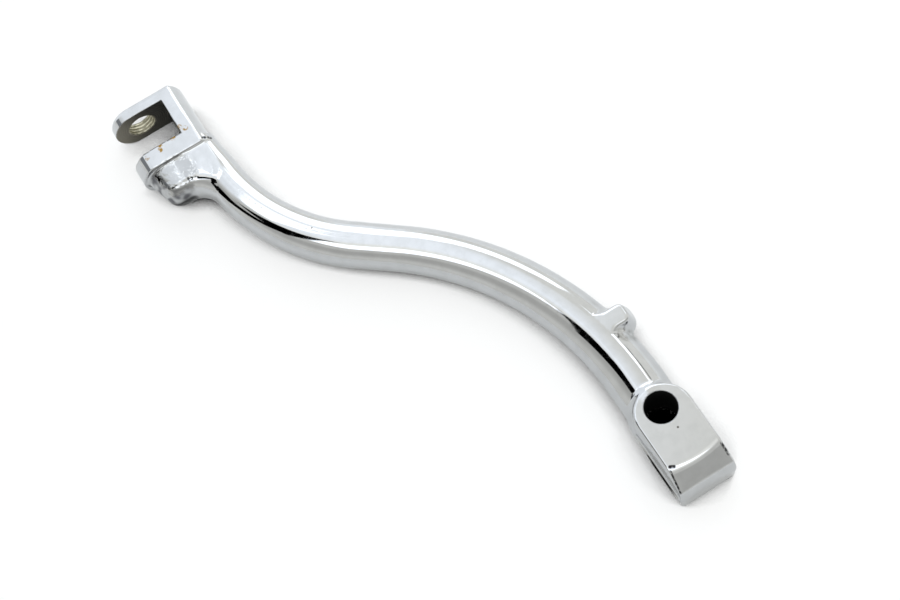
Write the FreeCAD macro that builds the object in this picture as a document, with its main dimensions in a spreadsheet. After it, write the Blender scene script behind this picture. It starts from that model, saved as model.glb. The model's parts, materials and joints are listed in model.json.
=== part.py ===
import FreeCAD, Part
import math
import os

import Sketcher
from FreeCAD import Placement, Rotation, Vector

NODE = "kick_lever"

# Driving sizes in millimetres and degrees. The origin is on the shaft hole's axis at the underside,
# +X runs along the block towards the fork, +Y is the way the fork's slot opens, +Z is up.
SIZES = (
    ("end_height", 17.0, "height of the block and of the fork"),
    ("arm_base", 1.2, "arm's underside above the table"),
    ("arm_top", 15.8, "arm's flat top above the table"),
    ("block_width", 21.4, "block's width at half height"),
    ("block_draft", 4.0, "lean of the block's walls"),
    ("nose_back", 2.0, "centre of the round nose behind the hole"),
    ("block_tail", 28.5, "block's end behind the hole"),
    ("bevel_end", 26.8, "bevel's lower line behind the hole"),
    ("bevel_start", 19.8, "bevel's upper line behind the hole"),
    ("bevel_drop", 4.5, "bevel's fall to its lower line"),
    ("shaft_hole", 11.11, "diameter of the shaft hole"),
    ("block_corner", 1.2, "rounding of the block's end corners"),
    ("pad_round", 0.7, "rounding of the pad's rim"),
    ("rim_chamfer", 0.4, "chamfer of the hole's upper rim and of the bore's rims"),
    ("arm_root", 4.0, "start of the arm inside the block"),
    ("arm_offset", 0.5, "arm's centre line beside the hole's axis"),
    ("arm_lead", 13.0, "start of the lower bend"),
    ("lower_bend", 111.6, "radius of the lower bend"),
    ("bend_angle", 50.8, "turn of the lower bend"),
    ("mid_run", 16.0, "straight between the bends"),
    ("upper_bend", 71.2, "radius of the upper bend"),
    ("fork_heading", 4.0, "arm's heading at the fork"),
    ("fork_run", 14.0, "straight from the upper bend into the fork"),
    ("width_block", 20.2, "arm's width at the block"),
    ("width_middle", 16.7, "arm's width between the bends"),
    ("width_fork", 14.1, "arm's width after the upper bend"),
    ("width_end", 10.4, "arm's width where it ends in the fork"),
    ("flat_block", 5.8, "width of the arm's flat top at the block"),
    ("flat_middle", 3.6, "width of the arm's flat top elsewhere"),
    ("lug_near", 29.2, "lug's near side at half height"),
    ("lug_length", 11.6, "lug's length along the arm at half height"),
    ("lug_reach", 11.8, "lug's tip beside the hole's axis"),
    ("lug_draft", 19.0, "lean of the lug's walls"),
    ("lug_corner", 4.6, "rounding of the lug's outline"),
    ("lug_round", 1.2, "rounding of the lug's top and bottom rims"),
    ("fork_lap", 2.8, "arm's end inside the fork"),
    ("fork_length", 27.3, "length of the fork's raised face"),
    ("fork_width", 28.8, "fork from its back to the tips"),
    ("fork_flat", 20.4, "width of the fork's flat faces"),
    ("fork_shift", -0.8, "shift of the flat faces towards the fork's back"),
    ("fork_side", 9.6, "middle of the fork beside the arm's end"),
    ("fork_round", 1.0, "rounding of the fork's end"),
    ("slot_near", 7.0, "thickness of the inner ear"),
    ("slot_width", 15.4, "width of the slot"),
    ("slot_side", 3.3, "slot's floor beside the arm's end"),
    ("pin_side", 13.5, "pin bore's axis beside the arm's end"),
    ("pin_hole", 11.11, "diameter of the pin bore"),
    ("pin_depth", 36.6, "depth of the pin bore from the end ear"),
    ("boss_length", 14.2, "length of the boss"),
    ("boss_root", 2.0, "start of the boss inside the fork"),
    ("boss_wide", 23.6, "boss's width at the fork"),
    ("boss_narrow", 16.4, "boss's width at its end"),
    ("boss_side", 11.0, "boss's middle at the fork beside the arm's end"),
    ("boss_shift", 1.2, "shift of the boss's middle at its end"),
    ("boss_fall", 1.2, "fall of the boss's faces at its end"),
    ("boss_flat", 8.0, "width of the boss's flat faces"),
    ("boss_round", 3.6, "rounding of the boss's end"),
)

# Places that follow from the driving sizes, from the block along the arm to the fork.
PLACES = (
    ("bend_end_x", "=arm_lead + lower_bend * sin(bend_angle)", "end of the lower bend"),
    ("bend_end_y", "=arm_offset + lower_bend * (1 - cos(bend_angle))", "end of the lower bend"),
    ("run_end_x", "=bend_end_x + mid_run * cos(bend_angle)", "start of the upper bend"),
    ("run_end_y", "=bend_end_y + mid_run * sin(bend_angle)", "start of the upper bend"),
    ("lean_x", "=run_end_x + upper_bend * (sin(bend_angle) - sin(fork_heading))", "end of the upper bend"),
    ("lean_y", "=run_end_y + upper_bend * (cos(fork_heading) - cos(bend_angle))", "end of the upper bend"),
    ("arm_end_x", "=lean_x + fork_run * cos(fork_heading)", "end of the arm"),
    ("arm_end_y", "=lean_y + fork_run * sin(fork_heading)", "end of the arm"),
    ("fork_step", "=arm_end_x - fork_lap", "start of the fork's raised face"),
    ("fork_centre", "=arm_end_y + fork_side", "middle of the fork"),
    ("slot_floor", "=arm_end_y + slot_side", "floor of the slot"),
    ("pin_offset", "=arm_end_y + pin_side", "axis of the pin bore"),
    ("boss_centre", "=arm_end_y + boss_side", "middle of the boss at the fork"),
)

doc = FreeCAD.newDocument("KickStartLever")

sheet = doc.addObject("Spreadsheet::Sheet", "sizes")
for row, (alias, content, note) in enumerate(SIZES + PLACES, start=1):
    sheet.set(f"A{row}", note)
    sheet.set(f"B{row}", str(content))
    sheet.setAlias(f"B{row}", alias)
doc.recompute()

body = doc.addObject("PartDesign::Body", "Lever")
body.Label = NODE
body.Placement = Placement()
body.AllowCompound = True
planes = {plane.Role: plane for plane in body.Origin.OriginFeatures}

MIDDLE = "sizes.end_height / 2"
START, END, CENTRE = range(1, 4)
ORIGIN = (-1, START)
UP = Vector(0, 0, 1)
TOLERANCE = 0.01
LEAST_CUT = 1.0


def value(expression):
    """Size that an expression of sheet cells gives."""
    return float(sheet.evalExpression(expression.replace("sizes.", "")))


def new_sketch(name, role):
    """Empty sketch on one of the body's origin planes."""
    sketch = body.newObject("Sketcher::SketchObject", name)
    sketch.AttachmentSupport = [(planes[role], "")]
    sketch.MapMode = "FlatFace"
    return sketch


def size_constraint(sketch, kind, name, ends, expression):
    """Dimension between two points of a sketch, bound to the sheet."""
    (geometry_a, point_a), (geometry_b, point_b) = ends
    index = sketch.addConstraint(
        Sketcher.Constraint(kind, geometry_a, point_a, geometry_b, point_b, value(expression))
    )
    sketch.renameConstraint(index, name)
    sketch.setExpression(f"Constraints.{name}", expression)


def join(sketch, *pairs):
    """Make points of neighbouring curves coincide."""
    for (geometry_a, point_a), (geometry_b, point_b) in pairs:
        sketch.addConstraint(Sketcher.Constraint("Coincident", geometry_a, point_a, geometry_b, point_b))


def polygon(sketch, corners):
    """Closed outline of straight sides whose corners are bound to the sheet."""
    points = [Vector(value(x), value(y), 0) for x, y in corners]
    for first, second in zip(points, points[1:] + points[:1]):
        sketch.addGeometry(Part.LineSegment(first, second))
    count = len(corners)
    join(sketch, *[((line, END), ((line + 1) % count, START)) for line in range(count)])
    for line, (x, y) in enumerate(corners):
        size_constraint(sketch, "DistanceX", f"x{line}", (ORIGIN, (line, START)), x)
        size_constraint(sketch, "DistanceY", f"y{line}", (ORIGIN, (line, START)), y)


def section(name, x, y, heading, width, flat, base, top, shift="0"):
    """Upright outline with a flat top and bottom and two bulging sides, widest at half height."""
    sketch = new_sketch(name, "YZ_Plane")
    sketch.AttachmentOffset = Placement(Vector(), Rotation(Vector(0, 1, 0), 1))
    sketch.setExpression("AttachmentOffset.Base.x", y)
    sketch.setExpression("AttachmentOffset.Base.z", x)
    sketch.setExpression("AttachmentOffset.Rotation.Angle", heading)
    half_flat = value(flat) / 2
    half_height = f"(({top}) - ({base})) / 2"
    rise = (value(top) + value(base)) / 2

    def level(sign, height):
        ends = [Vector(value(shift) + end * half_flat, height, 0) for end in (-sign, sign)]
        return sketch.addGeometry(Part.LineSegment(*ends))

    def side(name, sign):
        bulge = f"((({width}) - ({flat})) / 2 - ({sign}) * ({shift}))"
        rounding = f"({bulge} ^ 2 + ({half_height}) ^ 2) / (2 * {bulge})"
        radius = value(rounding)
        sweep = math.atan2(value(half_height), radius - value(bulge))
        ring = Part.Circle(Vector(sign * (value(width) / 2 - radius), rise, 0), UP, radius)
        outward = 0 if sign > 0 else math.pi
        arc = sketch.addGeometry(Part.ArcOfCircle(ring, outward - sweep, outward + sweep))
        index = sketch.addConstraint(Sketcher.Constraint("Radius", arc, radius))
        sketch.renameConstraint(index, name)
        sketch.setExpression(f"Constraints.{name}", rounding)
        return arc

    upper = level(1, value(top))
    right = side("right", 1)
    lower = level(-1, value(base))
    left = side("left", -1)
    join(
        sketch,
        ((upper, END), (right, END)),
        ((right, START), (lower, START)),
        ((lower, END), (left, END)),
        ((left, START), (upper, START)),
    )
    sketch.addConstraint(Sketcher.Constraint("Horizontal", upper))
    sketch.addConstraint(Sketcher.Constraint("Horizontal", lower))
    sketch.addConstraint(Sketcher.Constraint("Vertical", upper, START, lower, END))
    sketch.addConstraint(Sketcher.Constraint("Equal", upper, lower))
    size_constraint(sketch, "DistanceX", "flat", ((upper, START), (upper, END)), flat)
    size_constraint(sketch, "DistanceX", "flat_end", (ORIGIN, (upper, END)), f"({shift}) + ({flat}) / 2")
    size_constraint(sketch, "DistanceY", "top", (ORIGIN, (upper, START)), top)
    size_constraint(sketch, "DistanceY", "base", (ORIGIN, (lower, START)), base)
    return sketch


def loft(name, sections):
    """Skin through upright sections."""
    feature = body.newObject("PartDesign::AdditiveLoft", name)
    feature.Profile = sections[0]
    feature.Sections = list(sections[1:])
    doc.recompute()
    return feature


def two_sided(feature, sketch, length, draft):
    """Extrude a sketch by the same length up and down, leaning inwards."""
    feature.Profile = sketch
    feature.SideType = "Two sides"
    for side in ("", "2"):
        feature.setExpression(f"Length{side}", length)
        feature.setExpression(f"TaperAngle{side}", f"-({draft})")
    doc.recompute()
    return feature


def cut(name, sketch, reach=None, turned=False):
    """Cut a sketch through the body, or to a depth, and make sure that metal went."""
    before = body.Shape.Volume
    feature = body.newObject("PartDesign::Pocket", name)
    feature.Profile = sketch
    if reach is None:
        feature.SideType = "Symmetric"
        feature.Type = "ThroughAll"
    else:
        feature.setExpression("Length", reach)
        feature.Reversed = turned
    doc.recompute()
    if feature.Shape.Volume > before - LEAST_CUT:
        raise RuntimeError(f"{name} removed no metal")
    return feature


def edge_names(feature, wanted):
    """Names of a feature's edges that pass a test."""
    edges = enumerate(feature.Shape.Edges, start=1)
    return [f"Edge{number}" for number, edge in edges if wanted(edge)]


def round_edges(name, feature, radius, wanted, kind="Fillet"):
    """Fillet or chamfer of a feature's edges that pass a test."""
    names = edge_names(feature, wanted)
    if not names:
        raise RuntimeError(f"{name} found no edge")
    dressed = body.newObject(f"PartDesign::{kind}", name)
    dressed.Base = (feature, names)
    dressed.setExpression("Radius" if kind == "Fillet" else "Size", radius)
    doc.recompute()
    return dressed


def close(a, b):
    """Whether two coordinates agree."""
    return abs(a - b) < TOLERANCE


def lies_at(edge, axis, place):
    """Whether a whole edge lies in one plane across an axis."""
    box = edge.BoundBox
    low = getattr(box, f"{axis}Min")
    high = getattr(box, f"{axis}Max")
    return close(low, place) and close(high, place)


def make_block():
    """Block with a round nose, leaning walls and a bevelled end."""
    sketch = new_sketch("BlockOutline", "XY_Plane")
    sketch.setExpression("AttachmentOffset.Base.z", MIDDLE)
    half = value("sizes.block_width") / 2
    nose_x = -value("sizes.nose_back")
    tail_x = -value("sizes.block_tail")
    ring = Part.Circle(Vector(nose_x, 0, 0), UP, half)
    nose = sketch.addGeometry(Part.ArcOfCircle(ring, -math.pi / 2, math.pi / 2))
    corners = (
        Vector(nose_x, half, 0),
        Vector(tail_x, half, 0),
        Vector(tail_x, -half, 0),
        Vector(nose_x, -half, 0),
    )
    left, tail, right = [
        sketch.addGeometry(Part.LineSegment(first, second)) for first, second in zip(corners, corners[1:])
    ]
    join(
        sketch,
        ((nose, END), (left, START)),
        ((left, END), (tail, START)),
        ((tail, END), (right, START)),
        ((right, END), (nose, START)),
    )
    for line in (left, right):
        sketch.addConstraint(Sketcher.Constraint("Horizontal", line))
    sketch.addConstraint(Sketcher.Constraint("Vertical", tail))
    sketch.addConstraint(Sketcher.Constraint("Vertical", nose, CENTRE, nose, END))
    sketch.addConstraint(Sketcher.Constraint("Vertical", nose, CENTRE, nose, START))
    sketch.addConstraint(Sketcher.Constraint("PointOnObject", nose, CENTRE, -1))
    size_constraint(sketch, "DistanceX", "nose_back", ((nose, CENTRE), ORIGIN), "sizes.nose_back")
    size_constraint(sketch, "DistanceX", "tail", ((tail, START), ORIGIN), "sizes.block_tail")
    size_constraint(sketch, "DistanceY", "width", ((tail, END), (tail, START)), "sizes.block_width")
    two_sided(body.newObject("PartDesign::Pad", "Block"), sketch, MIDDLE, "sizes.block_draft")

    wedge = new_sketch("BevelOutline", "XZ_Plane")
    clear_x = "-2 * sizes.block_tail"
    clear_z = "2 * sizes.end_height"
    wedge_corners = (
        ("-sizes.bevel_start", "sizes.end_height"),
        ("-sizes.bevel_end", "sizes.end_height - sizes.bevel_drop"),
        ("-sizes.block_tail", MIDDLE),
        (clear_x, MIDDLE),
        (clear_x, clear_z),
        ("-sizes.bevel_start", clear_z),
    )
    polygon(wedge, wedge_corners)
    bevel = cut("Bevel", wedge)

    def upright_corner(edge):
        box = edge.BoundBox
        return box.XMax < TOLERANCE - value("sizes.bevel_end") and box.ZLength > box.YLength

    rounded = round_edges("BlockCorners", bevel, "sizes.block_corner", upright_corner)

    def rim(edge):
        return lies_at(edge, "Z", value("sizes.end_height")) or lies_at(edge, "Z", 0)

    return round_edges("PadRim", rounded, "sizes.pad_round", rim)


def make_fork():
    """Fork before it is slotted: a bar whose two long sides are rounded."""
    outline = section(
        "ForkOutline",
        "sizes.fork_step",
        "sizes.fork_centre",
        "0",
        "sizes.fork_width",
        "sizes.fork_flat",
        "0",
        "sizes.end_height",
        "sizes.fork_shift",
    )
    pad = body.newObject("PartDesign::Pad", "Fork")
    pad.Profile = outline
    pad.setExpression("Length", "sizes.fork_length")
    doc.recompute()
    end_x = value("sizes.fork_step + sizes.fork_length")
    return round_edges("ForkEnd", pad, "sizes.fork_round", lambda edge: lies_at(edge, "X", end_x))


def make_boss():
    """Tapered boss round the blind end of the pin bore."""
    share = (0, 0.5, 1)
    sections = [
        section(
            f"BossOutline{number}",
            f"sizes.fork_step + sizes.boss_root - (sizes.boss_length + sizes.boss_root) * {part}",
            f"sizes.boss_centre - sizes.boss_shift * {part}",
            "0",
            f"sizes.boss_wide + (sizes.boss_narrow - sizes.boss_wide) * {part}",
            "sizes.boss_flat",
            f"sizes.arm_base + sizes.boss_fall * {part}",
            f"sizes.arm_top - sizes.boss_fall * {part}",
        )
        for number, part in enumerate(share)
    ]
    boss = loft("Boss", sections)
    end_x = value("sizes.fork_step - sizes.boss_length")
    return round_edges("BossEnd", boss, "sizes.boss_round", lambda edge: lies_at(edge, "X", end_x))


def arm_stations():
    """Places along the arm's centre line with the width and the flat there."""
    yield "-sizes.arm_root", "sizes.arm_offset", "0", "sizes.width_block", "sizes.flat_block"
    lower_share = (0, 0.33, 0.67, 1)
    for part in lower_share:
        heading = f"sizes.bend_angle * {part}"
        yield (
            f"sizes.arm_lead + sizes.lower_bend * sin({heading})",
            f"sizes.arm_offset + sizes.lower_bend * (1 - cos({heading}))",
            heading,
            f"sizes.width_block + (sizes.width_middle - sizes.width_block) * {part}",
            f"sizes.flat_block + (sizes.flat_middle - sizes.flat_block) * {part}",
        )
    upper_share = (0, 0.33, 0.67, 1)
    for part in upper_share:
        heading = f"(sizes.bend_angle + (sizes.fork_heading - sizes.bend_angle) * {part})"
        yield (
            f"sizes.run_end_x + sizes.upper_bend * (sin(sizes.bend_angle) - sin({heading}))",
            f"sizes.run_end_y + sizes.upper_bend * (cos({heading}) - cos(sizes.bend_angle))",
            heading,
            f"sizes.width_middle + (sizes.width_fork - sizes.width_middle) * {part}",
            "sizes.flat_middle",
        )
    yield "sizes.arm_end_x", "sizes.arm_end_y", "sizes.fork_heading", "sizes.width_end", "sizes.flat_middle"


def make_arm():
    """S bent arm from the block to the fork."""
    sections = [
        section(f"ArmOutline{number}", *station, "sizes.arm_base", "sizes.arm_top")
        for number, station in enumerate(arm_stations())
    ]
    return loft("Arm", sections)


def rectangle(sketch, low_x, high_x, low_y, high_y):
    """Rectangle whose four sides are bound to the sheet."""
    polygon(sketch, ((low_x, low_y), (high_x, low_y), (high_x, high_y), (low_x, high_y)))


def circle(sketch, x, y, diameter):
    """Circle whose place and diameter are bound to the sheet."""
    centre = Vector(value(x), value(y), 0)
    ring = sketch.addGeometry(Part.Circle(centre, UP, value(diameter) / 2))
    size_constraint(sketch, "DistanceX", "x", (ORIGIN, (ring, CENTRE)), x)
    size_constraint(sketch, "DistanceY", "y", (ORIGIN, (ring, CENTRE)), y)
    index = sketch.addConstraint(Sketcher.Constraint("Diameter", ring, value(diameter)))
    sketch.renameConstraint(index, "diameter")
    sketch.setExpression("Constraints.diameter", diameter)


def lug_outline(sketch):
    """Outline of the lug at half height, with two round corners at its tip."""
    near_x = value("sizes.lug_near")
    far_x = near_x + value("sizes.lug_length")
    tip_y = -value("sizes.lug_reach")
    inner = "sizes.arm_offset + sizes.flat_block / 2"
    inner_y = value(inner)
    radius = value("sizes.lug_corner")

    def line(*ends):
        return sketch.addGeometry(Part.LineSegment(*[Vector(x, y, 0) for x, y in ends]))

    def corner(x, first):
        ring = Part.Circle(Vector(x, tip_y + radius, 0), UP, radius)
        return sketch.addGeometry(Part.ArcOfCircle(ring, first, first + math.pi / 2))

    near = line((near_x, inner_y), (near_x, tip_y + radius))
    near_corner = corner(near_x + radius, math.pi)
    tip = line((near_x + radius, tip_y), (far_x - radius, tip_y))
    far_corner = corner(far_x - radius, -math.pi / 2)
    far = line((far_x, tip_y + radius), (far_x, inner_y))
    inside = line((far_x, inner_y), (near_x, inner_y))
    rounded_tip = (near, near_corner, tip, far_corner, far)
    for before, after in zip(rounded_tip, rounded_tip[1:]):
        sketch.addConstraint(Sketcher.Constraint("Tangent", before, END, after, START))
    join(sketch, ((far, END), (inside, START)), ((inside, END), (near, START)))
    for edge, kind in ((near, "Vertical"), (tip, "Horizontal"), (far, "Vertical"), (inside, "Horizontal")):
        sketch.addConstraint(Sketcher.Constraint(kind, edge))
    sketch.addConstraint(Sketcher.Constraint("Equal", near_corner, far_corner))
    size_constraint(sketch, "DistanceX", "near", (ORIGIN, (near, START)), "sizes.lug_near")
    size_constraint(sketch, "DistanceX", "length", ((near, START), (far, END)), "sizes.lug_length")
    size_constraint(sketch, "DistanceY", "reach", ((tip, START), ORIGIN), "sizes.lug_reach")
    size_constraint(sketch, "DistanceY", "inner", (ORIGIN, (near, START)), inner)
    index = sketch.addConstraint(Sketcher.Constraint("Radius", near_corner, radius))
    sketch.renameConstraint(index, "corner")
    sketch.setExpression("Constraints.corner", "sizes.lug_corner")


def make_lug():
    """Stop lug on the arm's side, widest at half height."""
    sketch = new_sketch("LugOutline", "XY_Plane")
    arm_middle = "(sizes.arm_base + sizes.arm_top) / 2"
    sketch.setExpression("AttachmentOffset.Base.z", arm_middle)
    lug_outline(sketch)
    height = "(sizes.arm_top - sizes.arm_base) / 2"
    lug = two_sided(body.newObject("PartDesign::Pad", "Lug"), sketch, height, "sizes.lug_draft")
    near_x = value("sizes.lug_near")
    far_x = near_x + value("sizes.lug_length")

    def rim(edge):
        level = lies_at(edge, "Z", value("sizes.arm_top")) or lies_at(edge, "Z", value("sizes.arm_base"))
        return level and near_x < edge.BoundBox.XMin and edge.BoundBox.XMax < far_x

    return round_edges("LugRim", lug, "sizes.lug_round", rim)


def cut_slot():
    """Slot between the fork's ears."""
    sketch = new_sketch("SlotOutline", "XY_Plane")
    start = "sizes.fork_step + sizes.slot_near"
    past_tips = "sizes.fork_centre + sizes.fork_width"
    rectangle(sketch, start, f"{start} + sizes.slot_width", "sizes.slot_floor", past_tips)
    return cut("Slot", sketch)


def cut_shaft_hole():
    """Hole through the block for the shaft."""
    sketch = new_sketch("ShaftCircle", "XY_Plane")
    circle(sketch, "0", "0", "sizes.shaft_hole")
    hole = cut("ShaftHole", sketch)
    radius = value("sizes.shaft_hole") / 2

    def rim(edge):
        box = edge.BoundBox
        return lies_at(edge, "Z", value("sizes.end_height")) and close(box.XMax, radius)

    return round_edges("ShaftHoleRim", hole, "sizes.rim_chamfer", rim, "Chamfer")


def cut_pin_bore():
    """Bore for the pin through the end ear, blind in the boss."""
    sketch = new_sketch("PinCircle", "YZ_Plane")
    sketch.setExpression("AttachmentOffset.Base.z", "sizes.fork_step + sizes.fork_length")
    circle(sketch, "sizes.pin_offset", MIDDLE, "sizes.pin_hole")
    bore = cut("PinBore", sketch, "sizes.pin_depth")
    ear_faces = (
        value("sizes.fork_step + sizes.fork_length"),
        value("sizes.fork_step + sizes.slot_near + sizes.slot_width"),
        value("sizes.fork_step + sizes.slot_near"),
    )
    radius = value("sizes.pin_hole") / 2
    high_y = value("sizes.pin_offset") + radius

    def rim(edge):
        on_ear = any(lies_at(edge, "X", face_x) for face_x in ear_faces)
        return on_ear and close(edge.BoundBox.YMax, high_y) and edge.BoundBox.YLength > radius

    return round_edges("PinBoreRims", bore, "sizes.rim_chamfer", rim, "Chamfer")


make_block()
make_fork()
make_boss()
make_lug()
make_arm()
cut_slot()
cut_shaft_hole()
cut_pin_bore()

doc.recompute()
failed = [item.Name for item in doc.Objects if {"Invalid", "Error"} & set(item.State)]
if failed:
    raise RuntimeError(f"failed objects: {failed}")
if body.Shape.isNull() or not body.Shape.isValid():
    raise RuntimeError("the lever's solid is not valid")
if len(body.Shape.Solids) != 1:
    raise RuntimeError("the lever is not one solid")

os.makedirs("parts", exist_ok=True)
body.Shape.exportStep(f"parts/{body.Label}.step")
box = body.Shape.optimalBoundingBox(False)
print(f"{NODE}: {box.XLength:.1f} x {box.YLength:.1f} x {box.ZLength:.1f} mm, {body.Shape.Volume:.0f} mm3")
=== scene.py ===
import json
import math

import bpy
import numpy as np
from mathutils import Matrix, Vector

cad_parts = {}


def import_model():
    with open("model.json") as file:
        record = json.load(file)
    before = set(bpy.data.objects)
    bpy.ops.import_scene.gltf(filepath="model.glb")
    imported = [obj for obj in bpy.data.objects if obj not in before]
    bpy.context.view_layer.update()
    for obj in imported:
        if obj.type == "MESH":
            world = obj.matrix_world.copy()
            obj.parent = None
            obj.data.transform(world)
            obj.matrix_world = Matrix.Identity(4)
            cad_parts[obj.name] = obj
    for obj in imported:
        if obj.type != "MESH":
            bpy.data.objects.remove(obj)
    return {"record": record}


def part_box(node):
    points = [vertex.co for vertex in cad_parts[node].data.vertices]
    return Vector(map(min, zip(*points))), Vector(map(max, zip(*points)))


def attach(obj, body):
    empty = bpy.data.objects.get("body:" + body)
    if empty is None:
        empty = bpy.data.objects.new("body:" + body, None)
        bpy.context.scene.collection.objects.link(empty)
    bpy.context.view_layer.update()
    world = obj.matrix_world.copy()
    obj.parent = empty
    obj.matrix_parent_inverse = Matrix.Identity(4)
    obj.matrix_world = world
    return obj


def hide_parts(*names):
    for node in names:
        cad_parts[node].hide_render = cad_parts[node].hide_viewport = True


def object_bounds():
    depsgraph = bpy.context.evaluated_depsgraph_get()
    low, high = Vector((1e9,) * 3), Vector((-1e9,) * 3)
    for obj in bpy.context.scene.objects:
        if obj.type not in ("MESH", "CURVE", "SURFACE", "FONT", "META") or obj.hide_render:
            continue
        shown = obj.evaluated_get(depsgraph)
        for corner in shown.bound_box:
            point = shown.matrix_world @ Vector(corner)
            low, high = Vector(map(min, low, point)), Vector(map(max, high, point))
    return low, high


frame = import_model()
cad_low, cad_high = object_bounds()

NODE = "kick_lever"
MM = 0.001
INCH = 25.4

# Sizes in millimetres. The outer ones, the holes and the slot come from the frame.
box_low, box_high = [np.array(corner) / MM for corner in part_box(NODE)]
mounts = {mount["name"]: mount for mount in frame["record"]["mounts"]}
slot_low, slot_high = np.array(frame["record"]["physics"]["openings"][0]["box_m"]) / MM

END_HEIGHT = box_high[2]
MIDDLE = END_HEIGHT / 2
SHAFT_RADIUS = mounts["shaft_hole"]["dims"]["r_mm"]
PIN_RADIUS = mounts["pedal_pin_bore"]["dims"]["r_mm"]
PIN_Y, PIN_Z = np.array(mounts["pedal_pin_bore"]["pos_m"][1:]) / MM
PIN_DEPTH = 36.6
THREADS_PER_INCH = 20
THREAD_PITCH = INCH / THREADS_PER_INCH
THREAD_DEPTH = 0.45 * THREAD_PITCH
HOLE_EDGE = 0.2

BLOCK_TAIL = box_low[0]
BLOCK_WIDTH = 21.4
BLOCK_DRAFT = math.radians(4.0)
NOSE_X = -2.0
BEVEL_START = (-19.8, END_HEIGHT)
BEVEL_END = (-26.8, END_HEIGHT - 4.5)
BLOCK_CORNER = 1.2
PAD_EDGE = 0.8
FLASH_WIDTH = 1.3
FLASH_HEIGHT = 0.55
FLASH_START = 9.0
NOSE_FILLET = 2.2
BEVEL_EDGE = 0.9
BEVEL_BOW = 1.8
TAIL_EDGE = 0.3

ARM_BASE = 1.2
ARM_HEIGHT = END_HEIGHT - 2 * ARM_BASE
ARM_OFFSET = 0.5
ARM_LEAD = 13.0
LOWER_BEND = 111.6
BEND_ANGLE = math.radians(50.8)
MID_RUN = 16.0
UPPER_BEND = 71.2
FORK_HEADING = math.radians(4.0)
FORK_RUN = 14.0
LOWER_END = LOWER_BEND * BEND_ANGLE
RUN_END = LOWER_END + MID_RUN
UPPER_END = RUN_END + UPPER_BEND * (BEND_ANGLE - FORK_HEADING)

# The arm's section changes between these places along its centre line.
STATIONS = (-ARM_LEAD, 0, LOWER_END, RUN_END, UPPER_END, UPPER_END + FORK_RUN)
WIDTHS = (20.2, 20.2, 16.7, 16.7, 14.1, 10.4)
FLATS = (5.8, 5.8, 3.6, 3.6, 3.6, 3.6)
CREASES = np.radians((66, 66, 80, 82, 79, 79))
CREASE_EDGE = 0.25
CROWN = 0.008
WAIST = 1.0

LUG_NEAR = 29.2
LUG_LENGTH = 11.6
LUG_TIP = box_low[1]
LUG_DRAFT = math.radians(19.0)
LUG_CORNER = 4.6
LUG_EDGE = 0.8
LUG_FILLET = 1.6
LUG_ROOT = ARM_OFFSET + FLATS[0] / 2 + ARM_HEIGHT / 2 * math.tan(LUG_DRAFT)

FORK_LENGTH = 27.3
FORK_END = box_high[0]
FORK_STEP = FORK_END - FORK_LENGTH
FORK_WIDTH = 28.8
FORK_CENTRE = box_high[1] - FORK_WIDTH / 2
FORK_FLAT = 20.4
FORK_SHIFT = -0.8
FORK_EDGE = 2.0
FORK_CREASE = 0.4
EAR_ROUND = 2.0
SLOT_MIDDLE = (slot_low[0] + slot_high[0]) / 2
SLOT_MARGIN = 0.3
SLOT_EDGE = 0.25
STEP_FILLET = 1.2

BOSS_LENGTH = 14.2
BOSS_WIDTHS = (23.6, 17.0)
BOSS_CENTRES = (FORK_CENTRE + 1.4, FORK_CENTRE + 0.2)
BOSS_RISE = 0.5
BOSS_DRAFT = math.radians(20.0)
BOSS_FLAT = 8.0
BOSS_CREASE = math.radians(76)
BOSS_SHOULDER = 1.8
BOSS_EDGE = 3.0
BOSS_FILLET = 7.0

# Waves of forging and polishing: height, then seed, number, shortest and longest wavelength.
POLISH_HEIGHT = 0.012
POLISH_WAVES = (1, 8, 12, 30)
FORK_WAVE_HEIGHT = 0.02
FORK_WAVES = (35, 8, 8, 20)
BOSS_LUMP_HEIGHT = 0.05
BOSS_LUMPS = (2, 10, 3, 9)
DIMPLE_DEPTH = 0.2

VOXEL = 0.5
SLOPE_STEP = 0.06
LEAST_SLOPE = 0.5

# A mask on the mesh is 1 near a shape's surface and fades over its reach to 0, at 1.4 reaches.
CUT_REACH = SLOT_EDGE
BOSS_REACH = 0.6
MASK_END = 1.4


# Each shape is a field of x, y and z, negative inside it. Joints and edges are rounded to a given radius.
def joined(a, b, radius):
    """Union of two solids with a fillet in the corner between them."""
    outside = np.hypot(np.maximum(radius - a, 0), np.maximum(radius - b, 0))
    return np.maximum(radius, np.minimum(a, b)) - outside


def common(a, b, radius):
    """Intersection of two solids with a rounded edge between them."""
    return -joined(-a, -b, radius)


def less(a, b, radius):
    """First solid without the second, with a rounded rim."""
    return common(a, -b, radius)


def shoulders(across, height, half_width, half_flat, half_height, crease):
    """Sides of a section: arcs from the flat's edges, which they leave at a crease, to half height."""
    bulge = half_width - half_flat
    chord = np.hypot(bulge, half_height)
    lean = np.arctan2(bulge, half_height)
    radius = chord / (2 * np.sin(crease - lean))
    inset = radius * np.cos(crease - lean)
    centre_across = (half_width + half_flat) / 2 - inset * np.cos(lean)
    centre_height = half_height / 2 - inset * np.sin(lean)
    away = np.sqrt(height ** 2 + WAIST ** 2)
    return np.hypot(np.abs(across) - centre_across, away - centre_height) - radius


def ripple(x, y, z, seed, count, shortest, longest):
    """Smooth random waves between two wavelengths, about -1 to 1."""
    random = np.random.default_rng(seed)
    total = 0
    for _ in range(count):
        direction = random.standard_normal(3)
        wavelength = random.uniform(shortest, longest)
        turn = direction / np.linalg.norm(direction) * 2 * math.pi / wavelength
        phase = random.uniform(0, 2 * math.pi)
        total = total + np.sin((turn[0] * x + turn[1] * y + turn[2] * z + phase).astype(np.float32))
    return total / math.sqrt(count)


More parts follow.
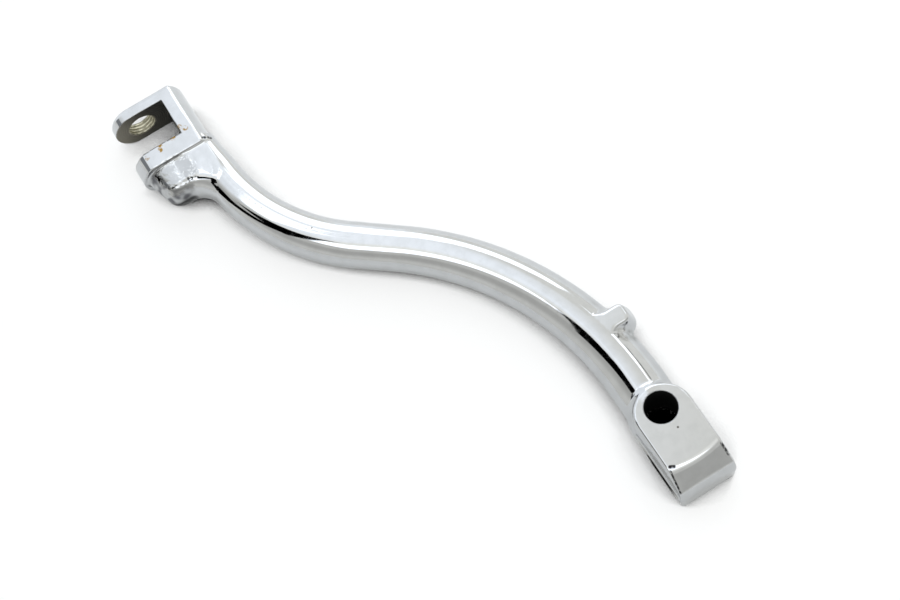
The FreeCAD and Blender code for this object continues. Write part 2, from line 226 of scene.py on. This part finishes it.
def leaning(outline, height, draft):
    """Upright wall round an outline, leaning inwards above and below half height."""
    return (outline + np.abs(height) * math.tan(draft)) * math.cos(draft)


def rounded_box(x, y, half_x, half_y, corner):
    """Plan outline of a rectangle with round corners, about its middle."""
    out_x = np.abs(x) - half_x + corner
    out_y = np.abs(y) - half_y + corner
    outside = np.hypot(np.maximum(out_x, 0), np.maximum(out_y, 0))
    return outside + np.minimum(np.maximum(out_x, out_y), 0) - corner


def plane(x, z, start, end):
    """Slanted plane through two points of the block's side view, positive towards the tail."""
    run = start[0] - end[0]
    drop = start[1] - end[1]
    return ((start[0] - x) * drop + (z - start[1]) * run) / math.hypot(run, drop)


def arm_line(x, y):
    """Way along the arm's centre line and signed distance beside it, towards +Y."""
    along = x - ARM_LEAD
    beside = y - ARM_OFFSET
    centre_y = ARM_OFFSET + LOWER_BEND
    turned = np.arctan2(x - ARM_LEAD, centre_y - y)
    bent = turned > 0
    along = np.where(bent, turned * LOWER_BEND, along)
    beside = np.where(bent, LOWER_BEND - np.hypot(x - ARM_LEAD, y - centre_y), beside)

    start_x = ARM_LEAD + LOWER_BEND * math.sin(BEND_ANGLE)
    start_y = ARM_OFFSET + LOWER_BEND * (1 - math.cos(BEND_ANGLE))
    cos, sin = math.cos(BEND_ANGLE), math.sin(BEND_ANGLE)
    straight = (x - start_x) * cos + (y - start_y) * sin
    past_bend = straight > 0
    along = np.where(past_bend, LOWER_END + straight, along)
    beside = np.where(past_bend, (y - start_y) * cos - (x - start_x) * sin, beside)

    centre_x = start_x + MID_RUN * cos + UPPER_BEND * sin
    centre_y = start_y + MID_RUN * sin - UPPER_BEND * cos
    heading = -np.arctan2(x - centre_x, y - centre_y)
    past_run = straight > MID_RUN
    along = np.where(past_run, RUN_END + (BEND_ANGLE - heading) * UPPER_BEND, along)
    beside = np.where(past_run, np.hypot(x - centre_x, y - centre_y) - UPPER_BEND, beside)

    end_x = centre_x - UPPER_BEND * math.sin(FORK_HEADING)
    end_y = centre_y + UPPER_BEND * math.cos(FORK_HEADING)
    cos, sin = math.cos(FORK_HEADING), math.sin(FORK_HEADING)
    last = (x - end_x) * cos + (y - end_y) * sin
    in_fork = past_run & (last > 0)
    along = np.where(in_fork, UPPER_END + last, along)
    beside = np.where(in_fork, (y - end_y) * cos - (x - end_x) * sin, beside)
    return along, beside


def lug_walls(x, y, z):
    """Walls of the stop lug on the arm's side, widest at half height."""
    outline = rounded_box(
        x - LUG_NEAR - LUG_LENGTH / 2,
        y - (LUG_ROOT + LUG_TIP) / 2,
        LUG_LENGTH / 2,
        (LUG_ROOT - LUG_TIP) / 2,
        LUG_CORNER,
    )
    return leaning(outline, z - MIDDLE, LUG_DRAFT)


def boss_share(x):
    """Way along the boss: 0 at the fork, 1 at the boss's end."""
    return np.clip((FORK_STEP - x) / BOSS_LENGTH, 0, 1)


def boss_walls(x, y, z):
    """Walls of the tapered boss round the blind end of the pin bore."""
    share = boss_share(x)
    half_width = (BOSS_WIDTHS[0] + (BOSS_WIDTHS[1] - BOSS_WIDTHS[0]) * share) / 2
    centre = BOSS_CENTRES[0] + (BOSS_CENTRES[1] - BOSS_CENTRES[0]) * share
    height = z - MIDDLE
    sides = shoulders(y - centre, height, half_width, BOSS_FLAT / 2, ARM_HEIGHT / 2, BOSS_CREASE)
    near_end = leaning(FORK_STEP - BOSS_LENGTH - x, np.hypot(height, BOSS_EDGE), BOSS_DRAFT)
    ends = np.maximum(near_end, x - FORK_STEP - 2 * STEP_FILLET)
    return common(sides, ends, BOSS_EDGE)


def boss_flats(x, z):
    """Top and bottom of the boss, which rise a little away from the fork."""
    return np.abs(z - MIDDLE) - ARM_HEIGHT / 2 - BOSS_RISE * boss_share(x)


def boss(x, y, z):
    """Boss by itself, for its mask."""
    return np.maximum(boss_walls(x, y, z), boss_flats(x, z))


def arm(x, y, z):
    """S bent arm with the stop lug and the boss, whose tops run level into the arm's flat."""
    along, beside = arm_line(x, y)
    half_width = np.interp(along, STATIONS, WIDTHS) / 2
    half_flat = np.interp(along, STATIONS, FLATS) / 2
    crease = np.interp(along, STATIONS, CREASES)
    height = z - MIDDLE
    sides = shoulders(beside, height, half_width, half_flat, ARM_HEIGHT / 2, crease)
    bar = np.maximum(sides, np.maximum(-ARM_LEAD - along, along - STATIONS[-1]))

    stop = lug_walls(x, y, z)
    stub = boss_walls(x, y, z)
    on_stop = np.clip((bar - stop) / LUG_FILLET, 0, 1)
    on_boss = np.clip((bar - stub) / BOSS_FILLET + 0.5, 0, 1)
    walls = joined(joined(bar, stop, LUG_FILLET), stub, BOSS_FILLET)
    edge = CREASE_EDGE + (LUG_EDGE - CREASE_EDGE) * on_stop + (BOSS_SHOULDER - CREASE_EDGE) * on_boss
    flats = np.abs(height) - ARM_HEIGHT / 2 + CROWN * np.minimum(np.abs(beside), half_flat) ** 2
    flats = flats + (boss_flats(x, z) - flats) * on_boss
    polish = POLISH_HEIGHT * ripple(x, y, z, *POLISH_WAVES)
    lumps = BOSS_LUMP_HEIGHT * on_boss * ripple(x, y, z, *BOSS_LUMPS)
    return common(walls, flats, edge) + (polish + lumps)


def block(x, y, z):
    """Block with a round nose, leaning walls and a bevelled end."""
    half = BLOCK_WIDTH / 2
    sides = np.hypot(np.maximum(x - NOSE_X, 0), y) - half
    outline = common(sides, BLOCK_TAIL - x, BLOCK_CORNER)
    walls = leaning(outline, z - MIDDLE, BLOCK_DRAFT)
    left_side = np.clip(y, 0, 1) * np.clip((FLASH_START - x) / BLOCK_WIDTH, 0, 1)
    left_side = left_side * np.clip((x - BLOCK_TAIL) / BLOCK_CORNER - 1, 0, 1)
    walls = walls - FLASH_WIDTH * left_side * np.exp(-(((z - MIDDLE) / FLASH_HEIGHT) ** 2))
    # The bow fades out down the bevel, whose lower edge is straight.
    up_bevel = np.clip((z - BEVEL_END[1]) / (END_HEIGHT - BEVEL_END[1]), 0, 1)
    bowed = x + BEVEL_BOW * (0.5 - (y / half) ** 2) * up_bevel
    top = common(z - END_HEIGHT, plane(bowed, z, BEVEL_START, BEVEL_END), BEVEL_EDGE)
    top = common(top, plane(x, z, BEVEL_END, (BLOCK_TAIL, MIDDLE)), TAIL_EDGE)
    return common(common(walls, top, PAD_EDGE), -z, PAD_EDGE)


def on_ear(x):
    """True past the slot's middle, on the ear's side."""
    return x > SLOT_MIDDLE


def fork(x, y, z):
    """Fork before it is slotted: a bar whose two long sides are rounded."""
    beside = y - FORK_CENTRE
    half_flat = FORK_FLAT / 2
    back = FORK_WIDTH / 2 - half_flat + FORK_SHIFT
    front = FORK_WIDTH / 2 - half_flat - FORK_SHIFT + EAR_ROUND * on_ear(x)
    section = np.abs(z - MIDDLE) - MIDDLE
    for bulge, sign in ((back, -1), (front, 1)):
        radius = (bulge ** 2 + MIDDLE ** 2) / (2 * bulge)
        centre = sign * (FORK_WIDTH / 2 - radius)
        side = np.hypot(beside - centre, z - MIDDLE) - radius
        side = np.where(sign * (beside - centre) > 0, side, -radius)
        section = common(section, side, FORK_CREASE)
    solid = common(common(section, x - FORK_END, FORK_EDGE), FORK_STEP - x, SLOT_EDGE)
    return solid + FORK_WAVE_HEIGHT * ripple(x, y, z, *FORK_WAVES)


def slot(x, y, z):
    """Space between the fork's ears."""
    half = (slot_high[0] - slot_low[0]) / 2 + SLOT_MARGIN
    return np.maximum(np.abs(x - SLOT_MIDDLE) - half, slot_low[1] - SLOT_MARGIN - y)


def pin_bore(x, y, z):
    """Bore for the pin, blind in the boss and threaded in the ear, where it is cut to the crests."""
    radius = PIN_RADIUS - THREAD_DEPTH * on_ear(x)
    return np.maximum(np.hypot(y - PIN_Y, z - PIN_Z) - radius, FORK_END - PIN_DEPTH - x)


def shaft_hole(x, y, z):
    """Hole through the block."""
    return np.hypot(x, y) - SHAFT_RADIUS


def lever(x, y, z):
    """Whole lever."""
    body = joined(arm(x, y, z), fork(x, y, z), STEP_FILLET)
    body = joined(body, block(x, y, z), NOSE_FILLET)
    body = less(body, slot(x, y, z), SLOT_EDGE)
    body = less(body, pin_bore(x, y, z), HOLE_EDGE)
    return less(body, shaft_hole(x, y, z), HOLE_EDGE)


MASK_REACH = {slot: CUT_REACH, pin_bore: CUT_REACH, shaft_hole: CUT_REACH, boss: BOSS_REACH}


def gradient(field, points):
    """Direction in which the field grows at some points."""
    slopes = []
    for axis in range(3):
        step = np.zeros(3)
        step[axis] = SLOPE_STEP
        slopes.append(field(*(points + step).T) - field(*(points - step).T))
    return np.stack(slopes, axis=1) / (2 * SLOPE_STEP)


def skin(field, low, high, step):
    """Mesh of the field's zero surface: one vertex per grid cell that it crosses."""
    axes = [np.arange(a - 2 * step, b + 2 * step, step) for a, b in zip(low, high)]
    grid = np.meshgrid(*axes, indexing="ij", sparse=True)
    values = field(*[axis.astype(np.float32) for axis in grid])
    inside = values < 0
    shape = np.array(inside.shape) - 1

    def corner(offset):
        return inside[tuple(slice(o, o + n) for o, n in zip(offset, shape))]

    offsets = [(i, j, k) for i in (0, 1) for j in (0, 1) for k in (0, 1)]
    count = sum(corner(offset).astype(np.int8) for offset in offsets)
    crossed = (count > 0) & (count < len(offsets))
    cells = np.argwhere(crossed)
    number = np.full(crossed.shape, -1, np.int64)
    number[crossed] = np.arange(len(cells))

    total = np.zeros((len(cells), 3))
    crossings = np.zeros((len(cells), 1))
    for a in offsets:
        for axis in range(3):
            if a[axis]:
                continue
            b = tuple(o + (i == axis) for i, o in enumerate(a))
            value_a = values[tuple((cells + a).T)]
            value_b = values[tuple((cells + b).T)]
            change = (value_a < 0) != (value_b < 0)
            share = value_a / np.where(change, value_a - value_b, 1)
            place = np.array(a) + np.outer(share, np.eye(3)[axis])
            total += np.where(change[:, None], place, 0)
            crossings += change[:, None]
    origin = np.array([axis[0] for axis in axes])
    points = origin + (cells + total / crossings) * step

    quads = []
    for axis in range(3):
        ahead = np.roll(inside, -1, axis=axis)
        changed = inside != ahead
        spans = [slice(1, n) for n in shape]
        spans[axis] = slice(0, shape[axis])
        where = np.argwhere(changed[tuple(spans)])
        where += [0 if i == axis else 1 for i in range(3)]
        leaves = inside[tuple(where.T)]
        step_u, step_v = np.eye(3, dtype=int)[[(axis + 1) % 3, (axis + 2) % 3]]
        ring = [where - step_u - step_v, where - step_v, where, where - step_u]
        faces = np.stack([number[tuple(cell.T)] for cell in ring], axis=1)
        quads.append(np.where(leaves[:, None], faces, faces[:, ::-1]))
    return points, np.concatenate(quads)


def build_lever():
    """Lever's mesh, with each vertex and normal taken from the field itself."""
    points, quads = skin(lever, box_low, box_high, VOXEL)
    for _ in range(3):
        slope = gradient(lever, points)
        size = np.maximum((slope ** 2).sum(axis=1), LEAST_SLOPE ** 2)
        points -= slope * (np.clip(lever(*points.T), -VOXEL, VOXEL) / size)[:, None]
    points = np.clip(points, box_low, box_high)
    normals = gradient(lever, points)
    normals /= np.linalg.norm(normals, axis=1)[:, None]

    mesh = bpy.data.meshes.new("lever")
    mesh.from_pydata((points * MM).tolist(), [], quads.tolist())
    mesh.polygons.foreach_set("use_smooth", [True] * len(mesh.polygons))
    mesh.update()
    mesh.normals_split_custom_set_from_vertices(normals.tolist())
    for shape, reach in MASK_REACH.items():
        mask = mesh.attributes.new(shape.__name__, "FLOAT", "POINT")
        gap = np.abs(shape(*points.T))
        mask.data.foreach_set("value", np.clip(MASK_END - gap / reach, 0, 1))
    lever_object = bpy.data.objects.new("lever", mesh)
    bpy.context.collection.objects.link(lever_object)
    return lever_object


class Graph:
    """Short way to write a node tree."""

    def __init__(self, tree):
        self.nodes = tree.nodes
        self.links = tree.links

    def set(self, socket, content):
        """Link a socket, or give it a number or colour."""
        if isinstance(content, bpy.types.NodeSocket):
            self.links.new(content, socket)
        else:
            socket.default_value = content

    def add(self, kind, *contents, **settings):
        """New node with its first inputs filled in order."""
        node = self.nodes.new(kind)
        for name, setting in settings.items():
            setattr(node, name, setting)
        for socket, content in zip(node.inputs, contents):
            self.set(socket, content)
        return node

    def math(self, operation, *contents):
        """Result of a sum on two numbers."""
        return self.add("ShaderNodeMath", *contents, operation=operation).outputs["Value"]

    def times(self, first, second):
        """Product of two numbers."""
        return self.math("MULTIPLY", first, second)

    def fade(self, number, low, high, start=0.0, end=1.0):
        """Number turned smoothly from one range into another."""
        node = self.add("ShaderNodeMapRange", number, low, high, start, end)
        node.interpolation_type = "SMOOTHSTEP"
        return node.outputs["Result"]

    def noise(self, place, scale, detail):
        """Soft random pattern, about 0 to 1."""
        node = self.add("ShaderNodeTexNoise")
        self.set(node.inputs["Vector"], place)
        self.set(node.inputs["Scale"], scale)
        self.set(node.inputs["Detail"], detail)
        return node.outputs["Fac"]

    def wave(self, place, scale, kind, distortion):
        """Fine tool marks across the X axis or round it, 0 to 1."""
        node = self.add("ShaderNodeTexWave", wave_type=kind, bands_direction="X", rings_direction="X")
        self.set(node.inputs["Vector"], place)
        self.set(node.inputs["Scale"], scale)
        self.set(node.inputs["Distortion"], distortion)
        self.set(node.inputs["Detail"], 2.0)
        return node.outputs["Fac"]

    def mix(self, share, first, second):
        """Colour between two colours."""
        node = self.add("ShaderNodeMix", data_type="RGBA")
        self.set(node.inputs["Factor"], share)
        self.set(node.inputs["A"], first)
        self.set(node.inputs["B"], second)
        return node.outputs["Result"]

    def spots(self, place, centres, radius):
        """Mask of round spots, 1 inside."""
        total = 0.0
        for centre in centres:
            node = self.add("ShaderNodeVectorMath", place, Vector(centre) * MM, operation="DISTANCE")
            spot = self.fade(node.outputs["Value"], radius * MM, radius * MM / 2)
            total = self.math("MAXIMUM", total, spot)
        return total


# Colours of the metal and its wear, and of painted shade.
CHROME = (0.57, 0.575, 0.585, 1)
# Tarnish, also used for painted shade in the corners beside the lug.
TARNISH_AND_SHADE = (0.30, 0.30, 0.29, 1)
# Painted shade on the boss's flanks.
FLANK_SHADE = (0.10, 0.10, 0.11, 1)
# Painted shade: black under the boss's end and in the shaft hole.
SHADE_BLACK = (0.012, 0.012, 0.012, 1)
MACHINED_DARK = (0.035, 0.033, 0.028, 1)
MACHINED_PALE = (0.20, 0.185, 0.15, 1)
TAN_DARK = (0.26, 0.24, 0.17, 1)
TAN_PALE = (0.72, 0.68, 0.52, 1)
STAIN = (0.30, 0.17, 0.03, 1)
PIT = (0.16, 0.15, 0.14, 1)
# Scars, and painted dark reflections at the lug.
SCAR_AND_REFLECTION_BLACK = (0.02, 0.02, 0.022, 1)

GRIME_SHARE = 0.12
BOSS_TARNISH = 0.35
PATCH_SHARE = 0.9
TIP_SHARE = 0.9
SWIRL_SHARE = 0.6
POLISHED = (0.04, 0.09)
BARE_ROUGHNESS = 0.28

# Scales of the patterns, per metre. A wave texture of scale 1 turns by WAVE_TURN radians a metre.
BLOT_SCALE = 700
DIMPLE_SCALE = 650
SWIRL_SCALE = 420
GRIME_SCALE = 260
PATCH_SCALE = 220
WAVE_TURN = 20
THREAD_SCALE = 2 * math.pi / (WAVE_TURN * THREAD_PITCH * MM)
SWIRL_WOBBLE = 4.0
THREAD_WOBBLE = 0.6

# Wear as the photograph shows it, in millimetres, with painted shade in the lug's corners and painted dark
# reflections at the lug. A line of marks has two ends and a width.
STAIN_RADIUS = 1.3
STAINS = ((175.9, 99.3), (177.7, 93.0), (176.0, 93.9), (177.5, 87.8), (180.1, 83.9), (178.5, 82.3))
PIT_RADIUS = 0.5
PITS = ((120.0, 63.6, 15.5), (96.7, 31.0, 15.5), (-8.6, -0.8, 17.0), (196.4, 91.9, 3.6))
# Painted shade in the corners beside the lug: a radius, then the centres.
CORNER_SHADE_RADIUS = 3.4
CORNER_SHADES = ((28.4, -4.4, 13.8), (27.4, -7.2, 11.4), (44.0, -4.5, 14.5))
NICKS_AND_DARK_REFLECTIONS = (
    ((-20.6, -9.6, 16.3), (-24.0, -9.9, 14.0), 0.8),
    ((-18.3, 8.7, 17.0), (-18.9, 7.6, 16.9), 0.8),
    ((-19.4, 9.3, 16.7), (-26.5, 10.1, 12.5), 0.45),
    # The next two are painted dark reflections along the lug's corner.
    ((31.2, -7.4, 14.7), (30.3, -5.6, 13.2), 0.6),
    ((29.4, -2.6, 15.1), (28.5, -2.2, 15.3), 0.6),
    ((171.9, 78.8, 16.2), (171.9, 78.2, 15.9), 0.8),
    ((171.6, 76.9, 15.0), (171.3, 76.5, 14.5), 0.8),
)


def streak(start, end, width):
    """Points close together between two places."""
    start, end = Vector(start), Vector(end)
    count = math.ceil((end - start).length / width * 2)
    return [start.lerp(end, i / count) for i in range(count + 1)]


def tarnish_and_shade_boss(graph, place, on_boss, colour):
    """Colour with a tarnished boss, painted shade in patches on its sloping flanks and a painted black
    shadow under its end.
    """
    normal = graph.add("ShaderNodeNewGeometry").outputs["Normal"]
    facing = graph.add("ShaderNodeSeparateXYZ", normal).outputs
    colour = graph.mix(graph.times(on_boss, BOSS_TARNISH), colour, TARNISH_AND_SHADE)
    patches = graph.fade(graph.noise(place, PATCH_SCALE, 1), 0.4, 0.6, 0.0, PATCH_SHARE)
    # Painted shade: the boss's sloping flanks are darkened in patches.
    flank = graph.times(on_boss, graph.fade(facing["Z"], 0.92, 0.6))
    colour = graph.mix(graph.times(flank, patches), colour, FLANK_SHADE)
    # Painted shadow: the lower part of the boss's end, which faces the floor, is black.
    near_end = graph.times(on_boss, graph.fade(facing["X"], -0.2, -0.75))
    underneath = graph.fade(facing["Z"], 0.2, -0.05)
    return graph.mix(graph.times(near_end, underneath), colour, SHADE_BLACK)


def machined(graph, from_pin, past_pin, blot):
    """Bare machined steel of the slot, with tool marks round the pin, painted shade making it near black
    deep in the slot and paler towards the ears' tips.
    """
    # Painted shade over the bare steel's own dark tone: near black deep in the slot, paler towards the
    # open tips of the ears.
    tip = graph.fade(past_pin, -PIN_RADIUS * MM, 2 * PIN_RADIUS * MM, 0.0, TIP_SHARE)
    swirl = graph.wave(from_pin, SWIRL_SCALE, "RINGS", SWIRL_WOBBLE)
    marks = graph.times(graph.times(swirl, blot), SWIRL_SHARE)
    return graph.mix(graph.math("ADD", tip, marks), MACHINED_DARK, MACHINED_PALE)


def worn(graph, place, blot, colour):
    """Colour with stains, pits, nicks, painted dark reflections at the lug and painted shade in its
    corners, all but the pits broken up by blots.
    """
    on_top = [(x, y, END_HEIGHT) for x, y in STAINS]
    stains = graph.times(graph.spots(place, on_top, STAIN_RADIUS), graph.fade(blot, 0.4, 0.6))
    colour = graph.mix(stains, colour, STAIN)
    colour = graph.mix(graph.spots(place, PITS, PIT_RADIUS), colour, PIT)
    broken = graph.fade(blot, 0.3, 0.55)
    # Nicks, and painted dark reflections at the lug, as dark lines.
    for start, end, width in NICKS_AND_DARK_REFLECTIONS:
        dark_line = graph.spots(place, streak(start, end, width), width)
        colour = graph.mix(graph.times(dark_line, broken), colour, SCAR_AND_REFLECTION_BLACK)
    # Painted shade in the corners beside the lug, broken up by blots.
    corner_shade = graph.times(graph.spots(place, CORNER_SHADES, CORNER_SHADE_RADIUS), graph.fade(blot, 0.2, 0.8))
    return graph.mix(corner_shade, colour, TARNISH_AND_SHADE)


def chrome():
    """Polished chrome, dimpled on the boss, bare in the slot and the holes, with the photograph's wear and
    with painted shade and painted dark reflections; the shaft hole's wall is painted black as shade.
    """
    material = bpy.data.materials.new("chrome")
    material.use_nodes = True
    shader = material.node_tree.nodes["Principled BSDF"]
    graph = Graph(material.node_tree)
    place = graph.add("ShaderNodeTexCoord").outputs["Object"]
    mask = {
        shape.__name__: graph.add("ShaderNodeAttribute", attribute_name=shape.__name__).outputs["Fac"]
        for shape in MASK_REACH
    }
    blot = graph.noise(place, BLOT_SCALE, 3)
    grime = graph.fade(graph.noise(place, GRIME_SCALE, 4), 0.35, 0.7)

    pin = Vector((0, PIN_Y, PIN_Z)) * MM
    from_pin = graph.add("ShaderNodeVectorMath", place, pin, operation="SUBTRACT").outputs["Vector"]
    pin_axes = graph.add("ShaderNodeSeparateXYZ", from_pin).outputs
    in_ear = graph.math("GREATER_THAN", pin_axes["X"], SLOT_MIDDLE * MM)
    thread = graph.times(graph.wave(place, THREAD_SCALE, "BANDS", THREAD_WOBBLE), in_ear)

    colour = graph.mix(graph.times(grime, GRIME_SHARE), CHROME, TARNISH_AND_SHADE)
    colour = tarnish_and_shade_boss(graph, place, mask["boss"], colour)
    colour = graph.mix(mask["slot"], colour, machined(graph, from_pin, pin_axes["Y"], blot))
    crests = graph.times(thread, graph.fade(blot, 0.3, 0.6))
    colour = graph.mix(mask["pin_bore"], colour, graph.mix(crests, TAN_DARK, TAN_PALE))
    # The shaft hole's wall is painted black: painted shade deep in the hole, over its dark bare steel.
    colour = graph.mix(mask["shaft_hole"], colour, SHADE_BLACK)
    graph.set(shader.inputs["Base Color"], worn(graph, place, blot, colour))

    bare = graph.math("MAXIMUM", mask["slot"], mask["pin_bore"])
    bare = graph.math("MAXIMUM", bare, mask["shaft_hole"])
    rough = graph.math("ADD", graph.fade(grime, 0, 1, *POLISHED), graph.times(bare, BARE_ROUGHNESS))
    graph.set(shader.inputs["Roughness"], rough)
    # The shaft hole's wall is no metal and shows no reflection, as part of its painted shade.
    graph.set(shader.inputs["Metallic"], graph.math("SUBTRACT", 1.0, mask["shaft_hole"]))
    shader.inputs["Specular IOR Level"].default_value = 0

    dimples = graph.times(graph.noise(place, DIMPLE_SCALE, 2), DIMPLE_DEPTH)
    ridges = graph.times(thread, THREAD_DEPTH / 2)
    relief = graph.math("ADD", graph.times(dimples, mask["boss"]), graph.times(ridges, mask["pin_bore"]))
    bump = graph.add("ShaderNodeBump")
    graph.set(bump.inputs["Height"], relief)
    bump.inputs["Distance"].default_value = MM
    graph.set(shader.inputs["Normal"], bump.outputs["Normal"])
    return material


lever_object = build_lever()
lever_object.data.materials.append(chrome())
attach(lever_object, "root")
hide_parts(NODE)


# Studio. Directions are named as the photograph shows them.
FAR = Vector((0.8545, -0.5195, 0))
LEFT = Vector((0.5195, 0.8545, 0))
UP = Vector((0, 0, 1))
DAYLIGHT = (0.95, 1.0, 1.05, 1)
ROOMLIGHT = (1.0, 1.01, 0.97, 1)
FLOOR_HALF = 3.0
SHADOW_LIFT = 0.65
SHADE_REACH = 1.2 * END_HEIGHT
CONTACT_REACH = 4.0
SKY_SAMPLES = 4
PANEL = 2.4
FLAG = 0.0
DIM_FLAG = 0.3


def emission(name, colour, strength):
    """Evenly glowing material."""
    material = bpy.data.materials.new(name)
    material.use_nodes = True
    material.node_tree.nodes.clear()
    graph = Graph(material.node_tree)
    glow = graph.add("ShaderNodeEmission", colour, strength)
    graph.add("ShaderNodeOutputMaterial", glow.outputs["Emission"])
    return material


def towards(azimuth, elevation):
    """Direction in degrees: azimuth from the far side towards the left, elevation above the table."""
    a, e = math.radians(azimuth), math.radians(elevation)
    return (FAR * math.cos(a) + LEFT * math.sin(a)) * math.cos(e) + UP * math.sin(e)


def card(name, centre, distance, outline, strength):
    """Panel or flag of the studio, out of the camera's sight, its corners given as directions."""
    mesh = bpy.data.meshes.new(name)
    corners = [centre + distance * towards(*place) for place in outline]
    mesh.from_pydata([tuple(corner) for corner in corners], [], [range(len(corners))])
    mesh.materials.append(emission(name, DAYLIGHT, strength))
    panel = bpy.data.objects.new(name, mesh)
    bpy.context.collection.objects.link(panel)
    panel.visible_camera = False


middle = (Vector(cad_low) + Vector(cad_high)) / 2
by_block = Vector((18, 4, 15)) * MM
by_fork = Vector((148, 78, 15)) * MM
by_boss = Vector((165, 95, 12)) * MM

# Panels give the bright reflections and flags the dark ones: name, centre, metres away, corners, strength.
CARDS = (
    (
        "back_panel",
        middle,
        2.0,
        ((-25, 16), (24, 16), (24, 53), (14, 57), (0, 50), (-12, 46), (-21, 31)),
        PANEL,
    ),
    ("right_panel", by_block, 2.0, ((-33, 42), (-20, 42), (-20, 60), (-33, 60)), PANEL),
    ("right_flag", by_block, 0.5, ((-44, 26), (-34, 26), (-34, 33), (-44, 33)), FLAG),
    ("near_panel", middle, 1.5, ((112, 53), (160, 53), (160, 71), (112, 68)), PANEL),
    ("ceiling_strip", middle, 1.5, ((24, 60), (68, 61), (68, 66), (24, 64.5)), PANEL),
    ("overhead_panel", middle, 1.5, ((-180, 62), (-110, 62), (-110, 84), (-180, 84)), PANEL),
    ("block_flag", by_block, 0.5, ((112, 34.3), (88, 34.3), (78, 66), (108, 52)), FLAG),
    (
        "fork_flag",
        by_fork,
        0.25,
        ((131, 47), (118, 42), (108, 31), (100, 17), (103, 5), (112, 17), (126, 33), (133, 41)),
        FLAG,
    ),
    ("boss_flag", by_boss, 0.25, ((97, 12), (112, 12), (116, 34), (100, 34)), FLAG),
    ("limb_flag", by_boss, 0.25, ((78, 8), (97, 8), (97, 34), (82, 38)), DIM_FLAG),
)
for settings in CARDS:
    card(*settings)


def floor():
    """Pale table top that keeps the lever's shadow, deepened with painted shadow where metal hides the
    sky, and looks white to the camera.
    """
    mesh = bpy.data.meshes.new("floor")
    corners = [(x * FLOOR_HALF, y * FLOOR_HALF, 0) for x, y in ((-1, -1), (1, -1), (1, 1), (-1, 1))]
    mesh.from_pydata(corners, [], [range(4)])
    material = bpy.data.materials.new("table_top")
    material.use_nodes = True
    shader = material.node_tree.nodes["Principled BSDF"]
    graph = Graph(material.node_tree)
    seen = graph.add("ShaderNodeLightPath").outputs["Is Camera Ray"]

    def open_sky(reach):
        """How much of the sky is free of metal within a reach."""
        node = graph.add("ShaderNodeAmbientOcclusion", samples=SKY_SAMPLES)
        node.inputs["Distance"].default_value = reach * MM
        return node.outputs["AO"]

    # Painted shadow: the floor's white is darkened where metal hides the sky, widely and close to the
    # lever.
    shade = graph.fade(open_sky(SHADE_REACH), 0.28, 0.5)
    contact = graph.fade(open_sky(CONTACT_REACH), 0.15, 0.6)
    bright = graph.times(shade, contact)
    white = graph.mix(bright, (0, 0, 0, 1), (1, 1, 1, 1))
    place = graph.add("ShaderNodeTexCoord").outputs["Object"]
    # Painted shade in reflections: away from the camera the floor is darker on the lever's near side.
    far_away = graph.add("ShaderNodeVectorMath", place, FAR, operation="DOT_PRODUCT").outputs["Value"]
    pale = graph.fade(far_away, -0.02, 0.14, 0.8, 0.98)
    graph.set(shader.inputs["Base Color"], graph.mix(seen, pale, white))
    shader.inputs["Roughness"].default_value = 1
    shader.inputs["Specular IOR Level"].default_value = 0
    glow = graph.add("ShaderNodeEmission", white, 1.0).outputs["Emission"]
    lift = graph.times(seen, SHADOW_LIFT)
    lifted = graph.add("ShaderNodeMixShader", lift, shader.outputs["BSDF"], glow)
    graph.set(graph.nodes["Material Output"].inputs["Surface"], lifted.outputs["Shader"])
    mesh.materials.append(material)
    table = bpy.data.objects.new("floor", mesh)
    bpy.context.collection.objects.link(table)
    table.location.z = cad_low.z


floor()


def world():
    """Soft room light, brighter above the far side, white to the camera."""
    room = bpy.data.worlds.new("room")
    room.use_nodes = True
    graph = Graph(room.node_tree)
    background = graph.nodes["Background"]
    facing = graph.add("ShaderNodeTexCoord").outputs["Generated"]

    def share(direction):
        """How much the way looked at runs along a direction."""
        node = graph.add("ShaderNodeVectorMath", facing, direction, operation="DOT_PRODUCT")
        return node.outputs["Value"]

    height = share(UP)
    # The near half is dimmest half way up and brightest overhead. The far half is brighter on the left.
    near = graph.fade(height, 0.2, 0.5, 0.83, 0.6)
    near = graph.math("ADD", near, graph.fade(height, 0.6, 0.75, 0, 0.2))
    near = graph.math("ADD", near, graph.fade(height, 0.85, 0.95, 0, 0.55))
    leftwards = share(LEFT)
    far = graph.fade(leftwards, -0.05, 0.12, 1.05, 1.5)
    far = graph.math("SUBTRACT", far, graph.fade(leftwards, 0.18, 0.3, 0, 0.2))
    side = graph.fade(share(FAR), -0.1, 0.25)
    strength = graph.math("ADD", near, graph.times(side, graph.math("SUBTRACT", far, near)))
    seen = graph.add("ShaderNodeLightPath").outputs["Is Camera Ray"]
    graph.set(background.inputs["Strength"], graph.math("MAXIMUM", seen, strength))
    blue = graph.times(side, graph.fade(leftwards, -0.05, 0.1))
    blue = graph.math("SUBTRACT", blue, seen)
    graph.set(background.inputs["Color"], graph.mix(blue, ROOMLIGHT, DAYLIGHT))
    bpy.context.scene.world = room


world()


# The sensor is in millimetres, the photograph's focal length and width are in pixels.
SENSOR_WIDTH = 36
FOCAL_PIXELS = 1858
IMAGE_WIDTH = 900


def camera():
    """Camera where the photograph was taken."""
    right = Vector((-0.51631, -0.84918, -0.11102))
    up = Vector((0.77419, -0.51823, 0.36342))
    back = right.cross(up)
    place = Vector((-0.1580, 0.1011, 0.5931))
    lens_data = bpy.data.cameras.new("camera")
    lens_data.sensor_width = SENSOR_WIDTH
    lens_data.lens = SENSOR_WIDTH * FOCAL_PIXELS / IMAGE_WIDTH
    eye = bpy.data.objects.new("camera", lens_data)
    turn = Matrix((right, up, back)).transposed().to_4x4()
    eye.matrix_world = Matrix.Translation(place) @ turn
    bpy.context.collection.objects.link(eye)
    bpy.context.scene.camera = eye


camera()
bpy.context.scene.view_settings.view_transform = "Standard"
